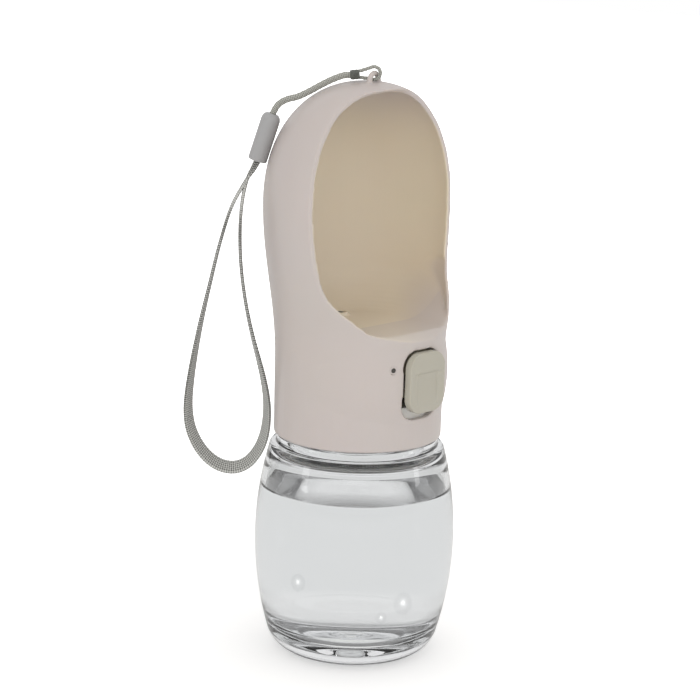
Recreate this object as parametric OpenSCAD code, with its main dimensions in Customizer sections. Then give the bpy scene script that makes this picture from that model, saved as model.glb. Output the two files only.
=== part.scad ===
// Travel water bottle for dogs: a clear bottle screwed into a drinking trough.
// The button on the front lifts a valve, and water runs up into the trough.
// Millimetres. Z is up, the trough opens towards -Y, the bottle stands on Z = 0.

/* [Bottle] */
// Largest radius of the bottle
bottle_r = 37.5; // [36:0.5:40]
// Height of the widest place of the bottle
bottle_waist_z = 44; // [38:1:50]
// Radius of the long curve of the bottle's side
bottle_side_curve = 130; // [110:5:180]
// Height of the bottle's shoulder
shoulder_z = 80.4; // [76:0.4:88]
// Wall of the bottle
bottle_wall = 2.2; // [1.6:0.1:3]
// Thickness of the solid base
base_thick = 8.5; // [6:0.5:11]
// Rounding of the outside of the base
base_round = 11; // [6:0.5:12]
// Rounding of the inside of the base
inner_round = 14; // [10:0.5:16]
// Radius of the hollow under the base
punt_r = 15; // [12:0.5:17]
// Height of the hollow under the base
punt_h = 2.4; // [1:0.2:3.6]
// Wall of the bottle's neck
neck_wall = 2.5; // [2:0.1:3]
// Height of the neck above the shoulder ring
neck_h = 11.8; // [10:0.2:14]
// How far the clear ring stands in from the skirt
ring_in = 1.2; // [0.8:0.1:1.8]
// Height of that ring
ring_h = 3; // [2:0.2:4]

/* [Trough] */
// Radius of the straight skirt
skirt_r = 31.4; // [31:0.1:32.5]
// Gap between the bottle's ring and the skirt
skirt_gap = 0.4; // [0.3:0.1:0.8]
// Length of the straight skirt
skirt_h = 28.2; // [26:0.2:32]
// Height over which the skirt swells into the trough
swell_h = 58; // [50:1:66]
// Largest radius of the trough
trough_r = 36.9; // [35.5:0.1:38]
// Height of the dome
dome_h = 44.5; // [40:0.5:50]
// Squareness of the dome, where 2 is an ellipse
dome_power = 2.15; // [2:0.05:2.4]
// Wall of the trough
trough_wall = 1.9; // [1.6:0.1:2.4]
// Wall of the skirt
skirt_wall = 2.4; // [2:0.1:2.6]
// How far in front of the axis the mouth of the trough is cut
cut_y = 9.5; // [7:0.5:12]
// Radius of the scooped lower edge of the mouth
lip_curve = 27; // [24:1:30]
// Height of the front lip above the skirt's end
lip_up = 14; // [13:0.5:16]
// Height of the trough's floor above the skirt's end
floor_up = 14.6; // [14:0.2:17]
// Rounding between the floor and the walls
floor_round = 20; // [16:1:24]
// Bulge of the front around the button
belly = 2; // [1:0.2:3]

/* [Button] */
// Width of the button
button_w = 18.4; // [16:0.2:19]
// Height of the button
button_h = 22.3; // [20:0.1:23]
// Corner radius of the button
button_round = 6; // [4:0.5:7]
// How far the button stands proud of the bulge
button_proud = 1.4; // [0.8:0.1:2]
// Wall of the button
button_wall = 1.5; // [1.2:0.1:1.8]
// Gap around the button
button_gap = 0.45; // [0.35:0.05:0.6]
// Travel of the button when it is pressed
press_travel = 2.2; // [1.8:0.1:2.4]
// Travel of the button when it is slid down to lock
lock_travel = 2.4; // [2:0.1:2.6]

/* [Valve] */
// Height of the valve above the end of the neck
valve_up = 13.8; // [13:0.1:15]
// Radius of the valve rod
rod_r = 1.5; // [1.2:0.1:1.8]
// Running clearance of the rod and of the button's post
run_gap = 0.05; // [0.03:0.01:0.08]
// Clearance between pieces that move past each other
slide_gap = 0.3; // [0.3:0.05:0.5]
// Radius of the water passages
port_r = 2.2; // [1.8:0.1:2.4]
// Radius of the rear valve chamber
chamber_r = 5; // [4.6:0.1:5.2]
// Radius of the rubber valve disc
disc_r = 4.3; // [4:0.1:4.5]
// Wire of both springs
wire_d = 0.7; // [0.5:0.05:0.8]
// Turns of each spring
spring_turns = 4; // [3:1:5]
// Distance of the outlet behind the axis
outlet_y = 10.8; // [9.6:0.2:12]

/* [Seals] */
// Thickness of the neck gasket
gasket_h = 2; // [1.6:0.1:2.4]
// Thickness of the plate above the gasket
plate_h = 2.2; // [1.8:0.1:2.6]
// Wall of the threaded cap
cap_wall = 1.85; // [1.6:0.05:2.2]
// Radial fit between the threaded cap and the neck
neck_gap = 0.35; // [0.3:0.05:0.45]
// Radial play of pieces that are welded or snapped in place
seat_gap = 0.1; // [0.05:0.01:0.15]

/* [Strap] */
// Diameter of the round cord
cord_d = 2.4; // [2:0.1:2.8]
// Width of the flat strap at the bottom of its loop
strap_w = 6; // [5:0.2:7]
// Width of the flat strap where it enters the bead
strap_neck_w = 3.8; // [3.4:0.1:4.2]
// Thickness of the flat strap
strap_t = 1.3; // [1:0.1:1.5]
// Radius of the bead
bead_r = 3.5; // [3.3:0.1:4]
// Length of the bead
bead_l = 18; // [16:0.5:20]
// Radius of the moulded lug's bar
lug_bar_r = 1; // [0.8:0.1:1.2]
// Inside half width of the lug
lug_half = 1.9; // [1.8:0.1:2.2]
// Radius of the thin cord of the lug loop
loop_cord_r = 0.7; // [0.6:0.05:0.8]

/* [Hidden] */
$fn = 96;
eps = 0.01;
bore_r = skirt_r - skirt_wall;
cap_r = bore_r - seat_gap;
neck_r = cap_r - cap_wall - neck_gap;
mouth_r = neck_r - neck_wall;
ring_r = skirt_r - ring_in;
ring_z = shoulder_z + ring_h;
neck_top = ring_z + neck_h;
skirt_z = ring_z + skirt_gap;
skirt_top = skirt_z + skirt_h;
dome_z = skirt_top + swell_h;
top_z = dome_z + dome_h;
plate_z = neck_top + gasket_h;
plate_top = plate_z + plate_h;
valve_z = neck_top + valve_up;

// Outer curve of the trough: straight skirt, a cosine swell, then a dome
function swell_r(t) = skirt_r + (trough_r - skirt_r) * (1 - cos(180 * t)) / 2;
function dome_at(t) = pow(max(0, 1 - pow(t, dome_power)), 1 / dome_power);
swell_steps = 22;
dome_steps = 30;
trough_profile = concat(
    [[0, skirt_z], [skirt_r - 0.8, skirt_z], [skirt_r - 0.2, skirt_z + 0.35]],
    [for (i = [0:swell_steps]) [swell_r(i / swell_steps), skirt_top + swell_h * i / swell_steps]],
    [for (i = [1:dome_steps])
        let (a = 90 * i / dome_steps)
        [trough_r * dome_at(sin(a)), dome_z + dome_h * sin(a)]]);

// Drinking hollow: a rounded floor, then one wall inside the outer curve
floor_z = skirt_top + floor_up;
round_steps = 12;
wall_from = ceil(swell_steps * (floor_up + floor_round) / swell_h);
wall_r = swell_r((floor_up + floor_round) / swell_h) - trough_wall;
hollow_profile = concat(
    [[0, floor_z]],
    [for (i = [0:round_steps])
        let (a = 90 * i / round_steps)
        [wall_r - floor_round * (1 - sin(a)), floor_z + floor_round * (1 - cos(a))]],
    [for (i = [wall_from:swell_steps])
        [swell_r(i / swell_steps) - trough_wall, skirt_top + swell_h * i / swell_steps]],
    [for (i = [1:dome_steps])
        let (a = 90 * i / dome_steps)
        [(trough_r - trough_wall) * dome_at(sin(a)), dome_z + (dome_h - trough_wall) * sin(a)]]);

// Room for the mechanism, and the coring that keeps the wall even behind the floor's rounding
ceiling_z = floor_z - trough_wall;
core_from_y = -9;
core_round = floor_round + trough_wall;
core_profile = concat(
    [[0, skirt_top - 2], [bore_r, skirt_top - 2]],
    [for (i = [0:round_steps])
        let (r = bore_r - (bore_r - wall_r + floor_round) * i / round_steps,
            out = r - (wall_r - floor_round))
        [r, ceiling_z + core_round - sqrt(max(0, pow(core_round, 2) - pow(max(0, out), 2)))]],
    [[0, ceiling_z]]);

// Mouth of the trough seen from the side
lip_z = skirt_top + lip_up;
lip_centre_y = -cut_y - 1.5 - lip_curve;
lip_centre_z = lip_z + lip_curve - 0.7;

// Button and the window that it moves in
window_top = skirt_top + 8.8;
button_top = window_top - button_gap;
button_z = button_top - button_h / 2;
window_h = button_h + 2 * button_gap + lock_travel;
window_z = window_top - window_h / 2;
front_y = -(skirt_r + belly);
button_face = front_y - button_proud + 0.3;
button_back = -cap_r - slide_gap - press_travel;
belly_z = button_z;
belly_h = 15;
belly_steps = 5;

// Lock slider behind the wall
slider_front = -bore_r + 2.5;
slider_t = 2;
slider_half_w = 10.5;
slider_h = 17;
slider_top = button_top - 0.9;
slider_back = slider_front + slider_t;
post_r = 3;
post_end = slider_back + 0.8;
sleeve_r = 4.5;
sleeve_l = 2;
rail_t = 1.6;
rail_x = slider_half_w + slide_gap;
rail_back = slider_back + slide_gap;
flange_x = 8.2;
flange_t = 1.4;

// Valve, front to back
rod_head_r = 4;
rod_head_t = 1.4;
rod_head_y = post_end + slide_gap;
block_front = slider_back + 6.5;
cup_depth = 3;
washer_t = 0.8;
gland_y = block_front + cup_depth;
gland_r = 3;
gland_l = 1.8;
front_room_y = -3;
front_room_r = 3.4;
seat_y = 4;
seat_touch = 0.05;
disc_t = 2.7;
clip_t = 0.6;
rod_end = seat_y + seat_touch + disc_t + clip_t + 0.9;
block_back = 17;
cap_spigot = 3;
cap_flange = 1.4;
block_r = chamber_r + 2.2;
foot_half = 6;
foot_front = -8;
foot_back = 14;
outlet_seal_h = 2;
outlet_r = port_r + 2;
boss_top = ceiling_z - outlet_seal_h;
ring_cord = 0.7;
inlet_seal_r = port_r + 1.8;
inlet_groove_in = port_r + 1;
inlet_groove_out = port_r + 2.6;
cup_r = 4.3;
washer_r = 4.2;
washer_gap = 0.15;
collar_up = 0.8;
collar_l = 1.1;
disc_fit = 0.02;
clip_r = 2.6;
clip_slot = 1.4;
valve_coil_r = 3.1;
button_coil_r = 5.4;
spring_gap = 0.05;
chamber_groove_in = 1.1;
chamber_groove_y = block_back - 2.2;
chamber_groove_l = 1.3;
chamber_cord = 0.5;
chamber_ring_r = chamber_r - 0.56;

// Strap: it hangs in one upright plane behind the lug
lug_y = -3;
lug_turn = 12;
strap_turn = 135;
lug_base = top_z - 1.2;
lug_bar_z = top_z + 3;
loop_run = 5.2;
loop_half = lug_bar_r + loop_cord_r + 0.55;
loop_pinch = 1.1;
loop_from = atan2(loop_pinch, loop_run) + acos(loop_half / norm([loop_run, loop_pinch]));
whip_r = loop_pinch + loop_cord_r + 0.05;
whip_l = 3.4;
loop_dip = 6;
loop_line = [cos(loop_dip), -sin(loop_dip)];
cord_start = [0, lug_bar_z] + (loop_run + whip_l) * loop_line;
cord_lead = 2.5;
bead_top = [36.1, 202];
bead_end = [41.3, 185];
cord_sides = 8;
cord_route = [cord_start, cord_start + cord_lead * loop_line,
    [15, 214.8], [19, 212.7], [23, 210.4], [27, 208.4],
    [30.5, 207.4], [33, 206.2], [34.8, 204.4], [36.4, 201], [37.3, 198.1]];
strap_route = [[39.4, 188.8], [40.5, 185], [42.4, 181.6], [45.2, 177.5], [50.4, 167.5],
    [54.4, 154], [57.8, 139], [60.8, 125], [63.3, 111], [64.9, 99], [65.2, 91], [64.1, 84],
    [61.2, 77.6], [57.2, 72.8], [52.6, 70], [47.6, 69.4], [43.2, 71.2], [39.8, 75], [37.5, 79.8],
    [36.3, 85], [35.9, 91], [36.3, 97], [37.6, 104], [39.4, 111], [41.6, 119], [43.5, 127],
    [45.2, 136], [46.4, 145], [47, 154], [47, 163], [46.3, 171], [44.8, 178], [43, 182.2],
    [41.9, 184.8], [40.7, 188.4]];
strap_turn_most = 34;

// One node for every piece

// ---- helpers ----

module along_y(y, z) {
    translate([0, y, z])
        rotate([-90, 0, 0])
            children();
}

module rod_y(r, y0, y1, z = valve_z) {
    along_y(y0, z)
        cylinder(r = r, h = y1 - y0);
}

module ring_y(r_mid, r_cord, y, z = valve_z) {
    along_y(y, z)
        rotate_extrude()
            translate([r_mid, 0])
                circle(r = r_cord, $fn = 24);
}

module rounded_plate(w, h, r, t) {
    linear_extrude(t)
        union() {
            square([w - 2 * r, h], center = true);
            square([w, h - 2 * r], center = true);
            for (sx = [-1, 1])
                for (sy = [-1, 1])
                    translate([sx * (w / 2 - r), sy * (h / 2 - r)])
                        circle(r = r, $fn = 48);
        }
}

module front_plate(w, h, r, y0, y1, z) {
    translate([0, y1, z])
        rotate([90, 0, 0])
            rounded_plate(w, h, r, y1 - y0);
}

function unit(v) = v / norm(v);

// A tube along points, with sides from a list of offsets, closed at both ends
module swept(points, sections) {
    n = len(sections[0]);
    m = len(points);
    rings = [for (s = sections) for (p = s) p];
    sides = [for (i = [0:m - 2]) for (j = [0:n - 1])
        let (a = i * n + j, b = i * n + (j + 1) % n, c = b + n, d = a + n)
        each [[a, b, c], [a, c, d]]];
    ends = [for (j = [1:n - 2])
        each [[0, j + 1, j], [(m - 1) * n, (m - 1) * n + j, (m - 1) * n + j + 1]]];
    polyhedron(points = rings, faces = concat(sides, ends), convexity = 8);
}

function tangent(p, i) = unit(p[min(i + 1, len(p) - 1)] - p[max(i - 1, 0)]);

// Coil spring along Y with its end turns, as one six-sided tube
module coil(r, y0, y1, turns) {
    steps = 14 * turns;
    pts = [for (i = [0:steps])
        let (a = 360 * turns * i / steps)
        [r * cos(a), y0 + wire_d / 2 + (y1 - y0 - wire_d) * i / steps, r * sin(a)]];
    secs = [for (i = [0:steps])
        let (a = 360 * turns * i / steps, out = [cos(a), 0, sin(a)])
        [for (j = [0:5])
            pts[i] + wire_d / 2 * (cos(60 * j) * out + sin(60 * j) * [0, 1, 0])]];
    translate([0, 0, valve_z])
        swept(pts, secs);
}

// ---- bottle ----

// Centre of a corner arc that touches the side curve and rises from a given height
side_x = bottle_r - bottle_side_curve;
function corner_x(r, z, wall) = side_x
    + sqrt(pow(bottle_side_curve - wall - r, 2) - pow(bottle_waist_z - z - r, 2));
function corner_end(r, z, wall) = atan2(z + r - bottle_waist_z, corner_x(r, z, wall) - side_x);
function side_at(z, wall) = side_x
    + sqrt(pow(bottle_side_curve - wall, 2) - pow(z - bottle_waist_z, 2));
function corner_arc(r, z, wall) = [for (i = [0:corner_steps])
    let (a = -90 + (90 + corner_end(r, z, wall)) * i / corner_steps)
    [corner_x(r, z, wall) + r * cos(a), z + r + r * sin(a)]];
function side_curve(z0, z1, wall, n) = [for (i = [1:n])
    let (z = z0 + (z1 - z0) * i / n)
    [side_at(z, wall), z]];

side_steps = 36;
corner_steps = 12;
outer_from = base_round * (1 + sin(corner_end(base_round, 0, 0)));
bottle_outline = concat(
    corner_arc(base_round, 0, 0),
    side_curve(outer_from, shoulder_z - 1.2, 0, side_steps),
    [[side_at(shoulder_z, 0) - 0.3, shoulder_z - 0.3],
        [side_at(shoulder_z, 0) - 1, shoulder_z],
        [ring_r, shoulder_z],
        [ring_r, ring_z - 0.4],
        [ring_r - 0.4, ring_z],
        [neck_r, ring_z],
        [neck_r, neck_top - 0.5],
        [neck_r - 0.5, neck_top],
        [mouth_r, neck_top]]);

pip_r = 5.2;
pip_z = 0.8;
throat_top = shoulder_z - bottle_wall;
throat_h = 7;
inner_top = throat_top - throat_h;
inner_from = base_thick + inner_round
    * (1 + sin(corner_end(inner_round, base_thick, bottle_wall)));
throat_dr = side_at(inner_top, bottle_wall) - mouth_r;
bottle_inside = concat(
    corner_arc(inner_round, base_thick, bottle_wall),
    side_curve(inner_from, inner_top, bottle_wall, side_steps - 8),
    [for (i = [1:8])
        let (a = 90 * i / 8)
        [mouth_r + throat_dr * cos(a), inner_top + throat_h * sin(a)]]);

module bottle() {
    color([0.93, 0.95, 0.96, 0.4])
        difference() {
            rotate_extrude()
                polygon(concat([[0, 0]], bottle_outline, [[0, neck_top]]));
            rotate_extrude()
                polygon(concat([[0, base_thick]], bottle_inside,
                    [[mouth_r, neck_top + 1], [0, neck_top + 1]]));
            // hollow under the base, with the gate pip in its middle
            difference() {
                translate([0, 0, -eps])
                    cylinder(r1 = punt_r, r2 = punt_r - punt_h, h = punt_h + eps);
                translate([0, 0, pip_z])
                    difference() {
                        cylinder(r = pip_r, h = punt_h);
                        translate([0, 0, -eps])
                            cylinder(r = pip_r / 2.4, h = 0.7);
                    }
            }
        }
}

module neck_gasket() {
    color([0.9, 0.9, 0.88])
        translate([0, 0, neck_top])
            difference() {
                cylinder(r = neck_r - 0.1, h = gasket_h);
                translate([0, 0, -1])
                    cylinder(r = mouth_r - 0.6, h = gasket_h + 2);
            }
}

// ---- trough ----

module mouth_cut() {
    rotate([90, 0, 90])
        translate([0, 0, -60])
            linear_extrude(120)
                union() {
                    translate([lip_centre_y, lip_centre_z])
                        circle(r = lip_curve, $fn = 160);
                    polygon([[lip_centre_y, lip_centre_z],
                        [lip_centre_y + lip_curve, lip_centre_z],
                        [-cut_y, lip_centre_z + 24],
                        [-cut_y + 1, top_z + 10],
                        [-80, top_z + 10],
                        [-80, lip_z - 0.7],
                        [lip_centre_y, lip_z - 0.7]]);
                }
}

module belly_form() {
    translate([0, -belly, belly_z])
        rotate_extrude()
            polygon(concat([[0, -belly_h], [0, belly_h]],
                [for (i = [-belly_steps:belly_steps])
                    [skirt_r - 0.06 - belly * pow(i / belly_steps, 2), -belly_h * i / belly_steps]]));
}

module lug() {
    translate([0, lug_y, 0])
    rotate([0, 0, lug_turn]) {
        for (sx = [-1, 1])
            translate([sx * (lug_half + lug_bar_r), 0, lug_base])
                cylinder(r = lug_bar_r, h = lug_bar_z - lug_base - lug_half - lug_bar_r, $fn = 32);
        translate([0, 0, lug_bar_z - lug_half - lug_bar_r])
            rotate([90, 0, 0])
                rotate_extrude(angle = 180)
                    translate([lug_half + lug_bar_r, 0])
                        circle(r = lug_bar_r, $fn = 32);
    }
}

module mechanism_room() {
    translate([0, 0, skirt_z - 1])
        cylinder(r = bore_r, h = ceiling_z - skirt_z + 1);
    intersection() {
        rotate_extrude()
            polygon(core_profile);
        translate([-40, core_from_y, skirt_top - 3])
            cube([80, 80, 60]);
    }
}

module drinking_trough() {
    color([0.84, 0.8, 0.76])
        difference() {
            union() {
                rotate_extrude()
                    polygon(trough_profile);
                belly_form();
                lug();
            }
            mouth_cut();
            rotate_extrude()
                polygon(hollow_profile);
            mechanism_room();
            // outlet hole in the floor
            translate([0, outlet_y, ceiling_z - 1])
                cylinder(r = port_r, h = trough_wall + 2);
            // window of the button
            front_plate(button_w + 2 * button_gap, window_h, button_round + button_gap,
                -45, -20, window_z);
            // lock mark beside the button
            rotate([0, 0, -24.5])
                rod_y(0.65, -skirt_r - 3, -skirt_r - belly + 2.2, button_z + 4.6);
        }
}

// ---- cap and valve ----

module neck_cap() {
    color([0.9, 0.9, 0.88])
        difference() {
            translate([0, 0, skirt_z + 0.5])
                cylinder(r = cap_r, h = plate_top - skirt_z - 0.5);
            translate([0, 0, skirt_z])
                cylinder(r = neck_r + neck_gap, h = plate_z - skirt_z);
            translate([0, 0, plate_z - 1])
                cylinder(r = port_r, h = plate_h + 2);
        }
}

module inlet_seal() {
    color([0.35, 0.36, 0.38])
        translate([0, 0, plate_top + ring_cord])
            rotate_extrude()
                translate([inlet_seal_r, 0])
                    circle(r = ring_cord, $fn = 24);
}

module valve_body() {
    color([0.88, 0.88, 0.86])
        difference() {
            union() {
                rod_y(block_r, block_front, block_back);
                // foot on the plate
                translate([-foot_half, foot_front, plate_top + seat_gap])
                    cube([2 * foot_half, foot_back - foot_front, valve_z - plate_top - 3]);
                // outlet boss
                translate([0, outlet_y, valve_z])
                    cylinder(r = outlet_r, h = boss_top - valve_z);
                // wall that carries the slider's rails
                translate([-rail_x - rail_t, block_front, plate_top + seat_gap])
                    cube([2 * (rail_x + rail_t), 2, slider_top - plate_top]);
                for (sx = [-1, 1]) {
                    translate([sx * (rail_x + rail_t / 2) - rail_t / 2, slider_front + 1,
                        plate_top + seat_gap])
                        cube([rail_t, block_front - slider_front, slider_top - plate_top]);
                    translate([sx * (rail_x + flange_x) / 2 - (rail_x - flange_x + 0.2) / 2,
                        rail_back, plate_top + seat_gap])
                        cube([rail_x - flange_x + 0.2, flange_t, slider_top - plate_top]);
                }
            }
            // spring cup, gland and rod guide
            rod_y(cup_r, block_front - 1, gland_y);
            rod_y(gland_r, gland_y - 1, gland_y + gland_l);
            rod_y(rod_r + run_gap, gland_y, front_room_y + 1);
            rod_y(front_room_r, front_room_y, seat_y + 1);
            rod_y(chamber_r, seat_y, block_back + 1);
            // inlet from the bottle
            translate([0, 0, plate_top - 1])
                cylinder(r = port_r, h = valve_z - plate_top + 1);
            translate([0, 0, plate_top - 1])
                difference() {
                    cylinder(r = inlet_groove_out, h = 1 + 2 * ring_cord);
                    cylinder(r = inlet_groove_in, h = 3);
                }
            // outlet to the trough
            translate([0, outlet_y, valve_z])
                cylinder(r = port_r, h = 30);
        }
}

module rod_seal() {
    color([0.2, 0.2, 0.21])
        ring_y(rod_r + run_gap + ring_cord, ring_cord, gland_y + ring_cord + 0.1);
}

module seal_washer() {
    color([0.75, 0.76, 0.78])
        difference() {
            rod_y(washer_r, gland_y - washer_t, gland_y);
            rod_y(rod_r + washer_gap, gland_y - 2, gland_y + 1);
        }
}

module valve_rod() {
    color([0.8, 0.81, 0.83]) {
        rod_y(rod_head_r, rod_head_y, rod_head_y + rod_head_t);
        rod_y(rod_r, rod_head_y + rod_head_t - eps, rod_end);
        rod_y(rod_r + collar_up, seat_y - collar_l, seat_y + seat_touch);
    }
}

module valve_disc() {
    color([0.55, 0.56, 0.58])
        difference() {
            rod_y(disc_r, seat_y + seat_touch, seat_y + seat_touch + disc_t);
            rod_y(rod_r + disc_fit, seat_y - 1, seat_y + 5);
        }
}

module disc_clip() {
    color([0.7, 0.71, 0.73])
        difference() {
            rod_y(clip_r, seat_y + seat_touch + disc_t, seat_y + seat_touch + disc_t + clip_t);
            rod_y(rod_r + disc_fit, seat_y, seat_y + 6);
            translate([-clip_slot / 2, seat_y, valve_z])
                cube([clip_slot, 6, 4]);
        }
}

module valve_spring() {
    color([0.7, 0.71, 0.73])
        coil(valve_coil_r, rod_head_y + rod_head_t + spring_gap,
            gland_y - washer_t - spring_gap, spring_turns + 1);
}

module chamber_cap() {
    color([0.88, 0.88, 0.86])
        difference() {
            union() {
                rod_y(chamber_r - run_gap, block_back - cap_spigot, block_back + 0.1);
                rod_y(block_r, block_back, block_back + cap_flange);
            }
            difference() {
                rod_y(chamber_r + 1, chamber_groove_y, chamber_groove_y + chamber_groove_l);
                rod_y(chamber_r - chamber_groove_in, block_back - 4, block_back + 2);
            }
        }
}

module chamber_seal() {
    color([0.2, 0.2, 0.21])
        ring_y(chamber_ring_r, chamber_cord, chamber_groove_y + chamber_groove_l / 2);
}

module outlet_seal() {
    color([0.9, 0.9, 0.88])
        translate([0, outlet_y, boss_top])
            difference() {
                cylinder(r = outlet_r, h = outlet_seal_h);
                translate([0, 0, -1])
                    cylinder(r = port_r, h = outlet_seal_h + 2);
            }
}

// ---- button ----

module lock_slider() {
    color([0.8, 0.77, 0.73])
        difference() {
            union() {
                front_plate(2 * slider_half_w, slider_h, 1.5, slider_front, slider_back,
                    slider_top - slider_h / 2);
                rod_y(sleeve_r, slider_front - sleeve_l, slider_front + eps);
            }
            rod_y(post_r + run_gap, slider_front - 5, slider_back + 1);
        }
}

module button() {
    color([0.82, 0.79, 0.75])
        union() {
            difference() {
                front_plate(button_w, button_h, button_round, button_face, button_back, button_z);
                front_plate(button_w - 2 * button_wall, button_h - 2 * button_wall,
                    button_round - button_wall, button_face + button_wall, button_back + 1,
                    button_z);
                // shallow hollow for the thumb
                translate([0, button_face - 38.9, button_z - 2])
                    rotate([0, 90, 0])
                        cylinder(r = 39.5, h = 11, center = true, $fn = 180);
            }
            rod_y(post_r, button_face + button_wall - eps, post_end);
        }
}

module button_spring() {
    color([0.7, 0.71, 0.73])
        coil(button_coil_r, button_face + button_wall + spring_gap,
            slider_front - spring_gap, spring_turns);
}

// ---- strap ----

module in_strap_plane() {
    translate([0, lug_y, 0])
        rotate([0, 0, strap_turn])
            children();
}

// Line of the thin loop, which leaves the lug's bar and dips a little
module on_loop_line() {
    in_strap_plane()
        translate([0, 0, lug_bar_z])
            rotate([0, loop_dip, 0])
                children();
}

module lug_loop() {
    color([0.66, 0.67, 0.63])
        on_loop_line() {
            // two strands that draw together at the whipping
            difference() {
                for (sz = [-1, 1])
                    rotate([0, -sz * loop_from, 0])
                        translate([loop_half, 0, 0])
                            translate([0, 0, sz > 0 ? -loop_run : 0])
                                cylinder(r = loop_cord_r, h = loop_run, $fn = 32);
                translate([loop_run, -4, -4])
                    cube([4, 8, 8]);
            }
            rotate([90, 0, 0])
                rotate([0, 0, loop_from])
                    rotate_extrude(angle = 360 - 2 * loop_from)
                        translate([loop_half, 0])
                            circle(r = loop_cord_r, $fn = 32);
        }
}

module cord_whipping() {
    color([0.42, 0.43, 0.4])
        on_loop_line()
            translate([loop_run, 0, 0])
                rotate([0, 90, 0])
                    cylinder(r = whip_r, h = whip_l, $fn = 48);
}

function route_point(p) = [p[0], 0, p[1]];

module lanyard_cord() {
    pts = [for (p = cord_route) route_point(p)];
    secs = [for (i = [0:len(pts) - 1])
        let (t = tangent(pts, i), side = [0, 1, 0], up = cross(t, side))
        [for (j = [0:cord_sides - 1])
            pts[i] + cord_d / 2 * (cos(360 * j / cord_sides) * side
                + sin(360 * j / cord_sides) * up)]];
    color([0.62, 0.63, 0.6])
        in_strap_plane()
            swept(pts, secs);
}

bead_axis = unit(route_point(bead_end) - route_point(bead_top));
bead_lean = atan2(bead_axis[0], -bead_axis[2]);

module strap_bead() {
    color([0.62, 0.64, 0.66])
        in_strap_plane()
            translate(route_point(bead_top))
                rotate([0, 180 - bead_lean, 0])
                    difference() {
                        rotate_extrude()
                            polygon(concat([[0, 0]],
                                [for (i = [0:8])
                                    let (a = 90 * i / 8)
                                    [1.7 + (bead_r - 1.7) * sin(a), 2.6 * (1 - cos(a))]],
                                [[bead_r, bead_l - 0.4], [bead_r - 0.4, bead_l], [0, bead_l]]));
                        translate([0, 0, -1])
                            cylinder(r = cord_d / 2 + 0.05, h = 6, $fn = 32);
                        translate([-1.7, -strap_neck_w / 2 - 0.1, bead_l - 5])
                            cube([3.4, strap_neck_w + 0.2, 6]);
                    }
}

function strap_way(i, m) = i / (m - 1);
function strap_width(u) = strap_neck_w
    + (strap_w - strap_neck_w) * min(1, 7 * min(u, 1 - u));
function strap_twist(u) = strap_turn_most * pow(sin(180 * u), 4);

module wrist_strap() {
    pts = [for (p = strap_route) route_point(p)];
    m = len(pts);
    secs = [for (i = [0:m - 1])
        let (u = strap_way(i, m), t = tangent(pts, i), flat = [0, 1, 0], thick = cross(t, flat),
            a = strap_twist(u), w = strap_width(u) / 2, h = strap_t / 2,
            f = cos(a) * flat + sin(a) * thick, g = cos(a) * thick - sin(a) * flat)
        [for (q = [[-1, -0.4], [-0.8, -1], [0.8, -1], [1, -0.4], [1, 0.4], [0.8, 1], [-0.8, 1],
            [-1, 0.4]])
            pts[i] + q[0] * w * f + q[1] * h * g]];
    color([0.62, 0.63, 0.6])
        in_strap_plane()
            swept(pts, secs);
}

bottle();
neck_gasket();
drinking_trough();
neck_cap();
inlet_seal();
valve_body();
rod_seal();
seal_washer();
valve_rod();
valve_disc();
disc_clip();
valve_spring();
chamber_cap();
chamber_seal();
outlet_seal();
lock_slider();
button();
button_spring();
lug_loop();
cord_whipping();
lanyard_cord();
strap_bead();
wrist_strap();
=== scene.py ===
"""Looks of the dog travel water bottle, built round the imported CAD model."""

import math

import bmesh
import bpy
import numpy as np
from mathutils import Matrix, Vector


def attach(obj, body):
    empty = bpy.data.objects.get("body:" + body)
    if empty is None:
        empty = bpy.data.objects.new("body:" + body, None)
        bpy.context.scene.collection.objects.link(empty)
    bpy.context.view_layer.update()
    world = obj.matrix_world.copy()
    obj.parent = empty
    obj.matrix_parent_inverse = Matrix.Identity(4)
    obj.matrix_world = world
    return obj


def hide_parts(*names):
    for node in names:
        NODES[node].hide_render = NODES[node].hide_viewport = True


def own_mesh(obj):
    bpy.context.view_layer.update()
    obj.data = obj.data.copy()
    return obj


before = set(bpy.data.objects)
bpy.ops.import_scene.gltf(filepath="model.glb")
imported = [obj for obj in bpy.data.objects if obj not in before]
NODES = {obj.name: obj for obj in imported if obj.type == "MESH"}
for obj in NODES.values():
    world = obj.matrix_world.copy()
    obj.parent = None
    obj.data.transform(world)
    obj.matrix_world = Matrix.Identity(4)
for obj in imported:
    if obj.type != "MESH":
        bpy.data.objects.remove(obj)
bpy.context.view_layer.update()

bl_info = {
    "name": "Dog travel water bottle",
    "version": (1, 0, 0),
    "blender": (4, 5, 0),
    "location": "View3D > Sidebar > Bottle",
    "description": "Builds the looks of a travel water bottle with a drinking trough",
    "category": "Object",
}

MM = 0.001

# The strap's upright plane, and the routes in it, as in the CAD source (mm: outwards, up)
PLANE_FROM = np.array([0.0, -3.0, 0.0])
PLANE_OUT = np.array([-math.sqrt(0.5), math.sqrt(0.5), 0.0])
PLANE_SIDE = np.array([-math.sqrt(0.5), -math.sqrt(0.5), 0.0])
LUG_BAR_Z = 217.5
LOOP_DIP = math.radians(6)
LOOP_RUN = 5.2
LOOP_HALF = 2.25
LOOP_PINCH = 1.1
WHIP_L = 3.4
WHIP_R = 1.85
LOOP_LINE = np.array([math.cos(LOOP_DIP), -math.sin(LOOP_DIP)])
CORD_START = np.array([0, LUG_BAR_Z]) + (LOOP_RUN + WHIP_L) * LOOP_LINE
CORD_ROUTE = [
    tuple(CORD_START), tuple(CORD_START + 2.5 * LOOP_LINE), (15, 214.8), (19, 212.7),
    (23, 210.4), (27, 208.4), (30.5, 207.4), (33, 206.2), (34.8, 204.4), (36.4, 201),
    (37.3, 198.1),
]
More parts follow.
